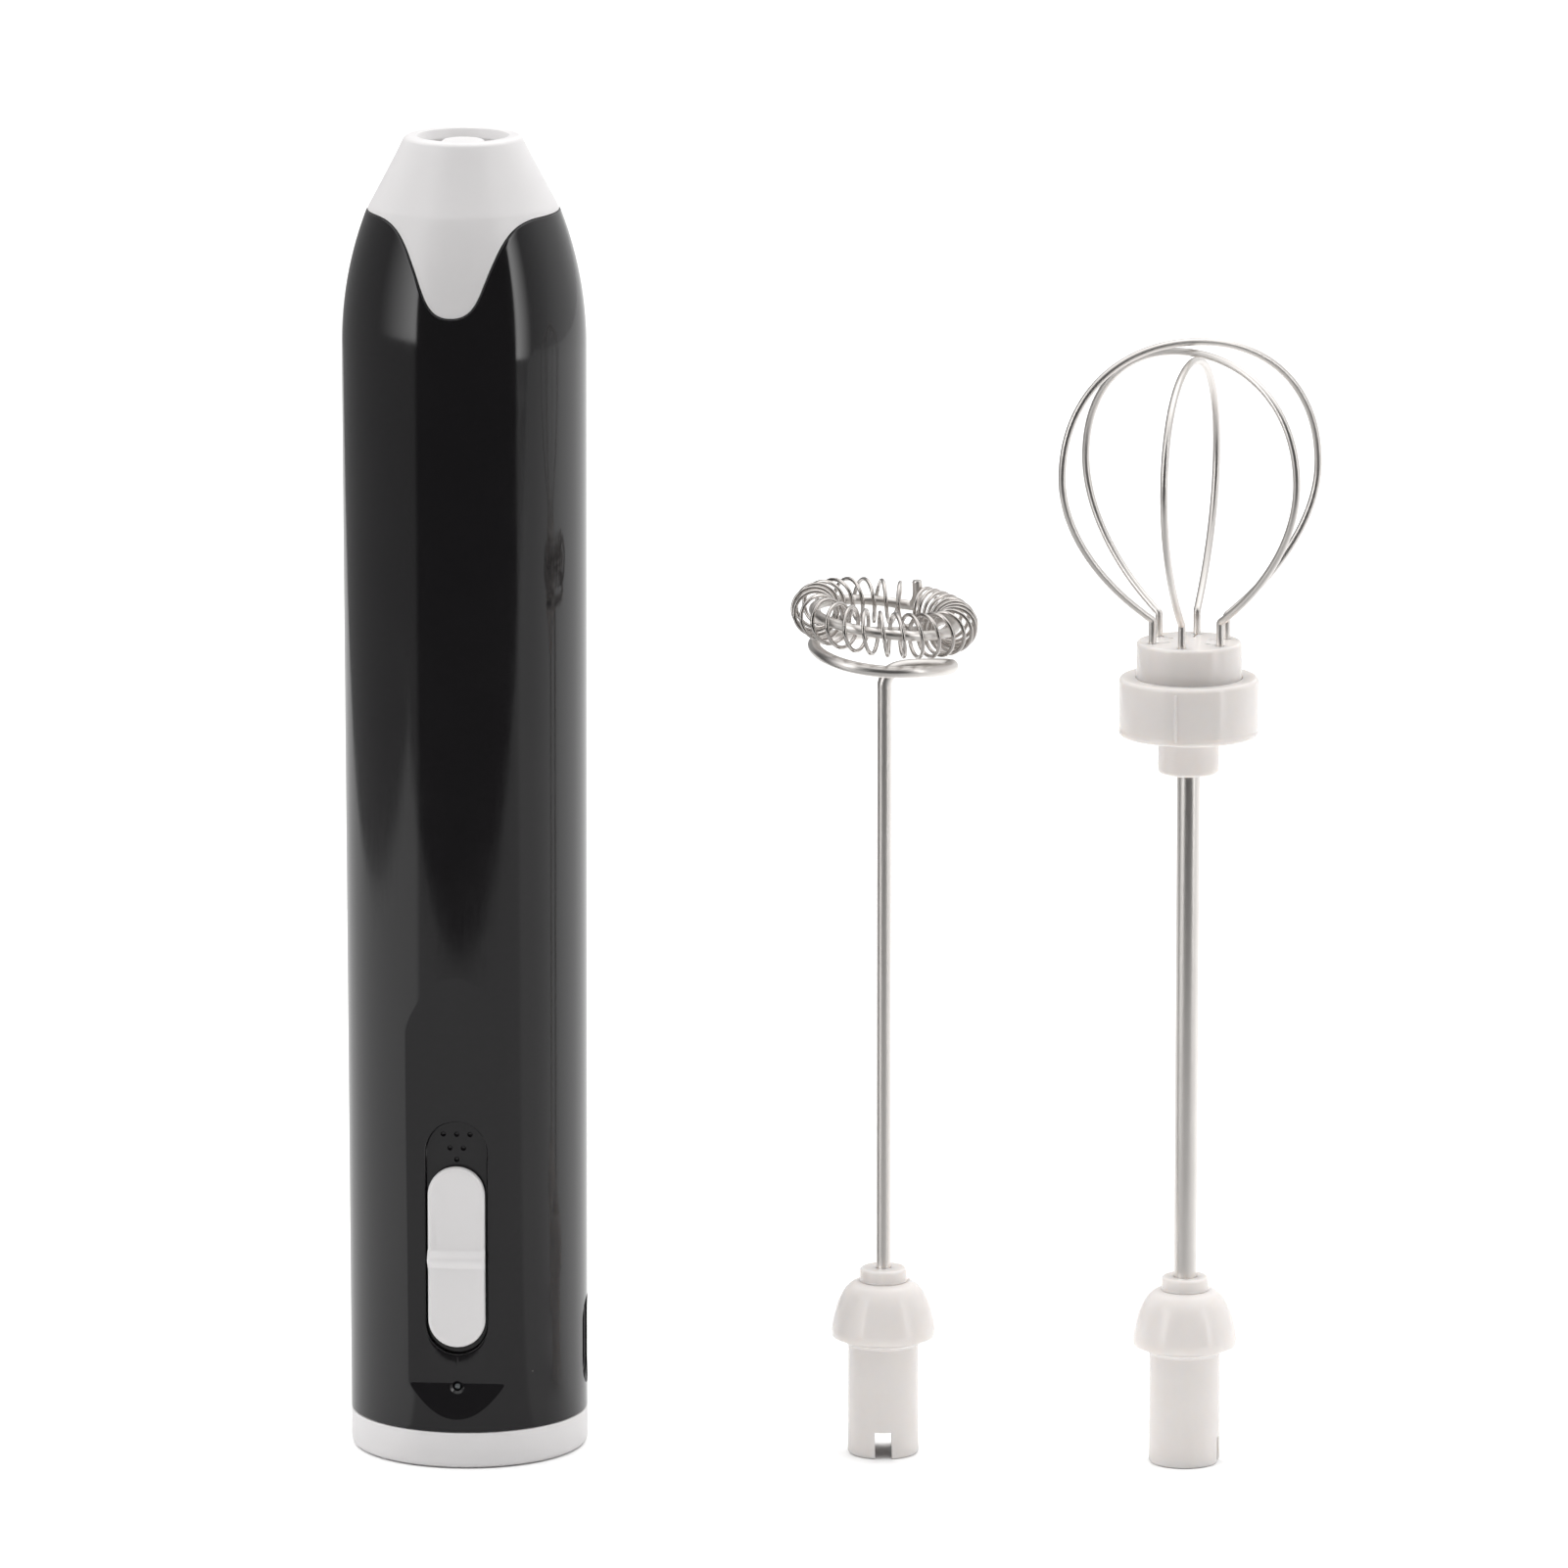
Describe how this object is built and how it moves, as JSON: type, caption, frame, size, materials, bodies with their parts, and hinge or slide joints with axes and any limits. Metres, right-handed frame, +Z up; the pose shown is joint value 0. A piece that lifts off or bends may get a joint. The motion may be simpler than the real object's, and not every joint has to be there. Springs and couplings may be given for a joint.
{
  "type": "milk frother",
  "caption": "Rechargeable hand milk frother: gloss black tube handle with a white nose, foot and thumb slide, standing beside its coil frother and balloon whisk.",
  "frame": {"origin": "centre of the handle foot, on the surface it stands on", "axes": "+Z up along the handle, the thumb slide faces -Y, the two whisks stand at the +X side"},
  "size_m": [0.1274, 0.0365, 0.1745],
  "materials": {
    "black_abs": "piano black, mirror moulded",
    "white_abs": "white, satin gloss",
    "warm_white_plastic": "warm translucent white, fine satin",
    "grey_nylon": "matte",
    "board": "solder mask",
    "plated_steel": "nickel plated",
    "clear_plastic": "clear",
    "cell_sleeve": "printed sleeve",
    "ferrite": "sintered",
    "bronze": "sintered",
    "copper": "bright",
    "seal_rubber": "matte",
    "lead_red": "satin",
    "lead_black": "satin",
    "stainless": "drawn bright",
    "spring_steel": "drawn bright"
  },
  "bodies": {
    "handle": {"body_tube": "black_abs", "nose_cone": "white_abs", "base_cap": "white_abs", "inner_frame": "grey_nylon", "circuit_board": "board", "charge_board": "board", "charge_port": "plated_steel", "switch_housing": "plated_steel", "charge_led": "clear_plastic", "light_pipe": "clear_plastic", "board_screw_lower": "plated_steel", "board_screw_upper": "plated_steel", "charge_board_screw": "plated_steel", "battery_cell": "cell_sleeve", "battery_tab_lower": "plated_steel", "battery_tab_upper": "plated_steel", "motor_can": "plated_steel", "motor_end_cap": "grey_nylon", "magnet_right": "ferrite", "magnet_left": "ferrite", "front_bearing": "bronze", "rear_bearing": "bronze", "brush_right": "copper", "brush_left": "copper", "shaft_seal": "seal_rubber", "battery_lead_red": "lead_red", "battery_lead_black": "lead_black", "motor_lead_red": "lead_red", "motor_lead_black": "lead_black"},
    "rotor": {"motor_shaft": "stainless", "armature_core": "plated_steel", "winding_a": "copper", "winding_b": "copper", "winding_c": "copper", "commutator": "copper", "drive_spindle": "white_abs"},
    "thumb_slide": {"switch_knob": "white_abs", "switch_lever": "grey_nylon"},
    "frother": {"frother_coupler": "warm_white_plastic", "frother_shaft": "stainless", "frother_coil": "spring_steel"},
    "whisk": {"whisk_coupler": "warm_white_plastic", "whisk_shaft": "stainless", "whisk_hub": "warm_white_plastic", "whisk_plug": "warm_white_plastic", "whisk_loop_outer": "stainless", "whisk_loop_middle": "stainless", "whisk_loop_inner": "stainless"}
  },
  "joints": [
    {"name": "spindle_spin", "type": "hinge", "parent": "handle", "child": "rotor", "pos_m": [0, 0, 0.15], "axis": [0, 0, 1], "continuous": true},
    {"name": "thumb_slide_travel", "type": "slide", "parent": "handle", "child": "thumb_slide", "axis": [0, 0, 1], "range_m": [0, 0.0056]},
    {"name": "frother_lift", "type": "slide", "parent": "handle", "child": "frother", "axis": [0, 0, 1], "range_m": [0, 0.18]},
    {"name": "whisk_lift", "type": "slide", "parent": "handle", "child": "whisk", "axis": [0, 0, 1], "range_m": [0, 0.18]}
  ]
}
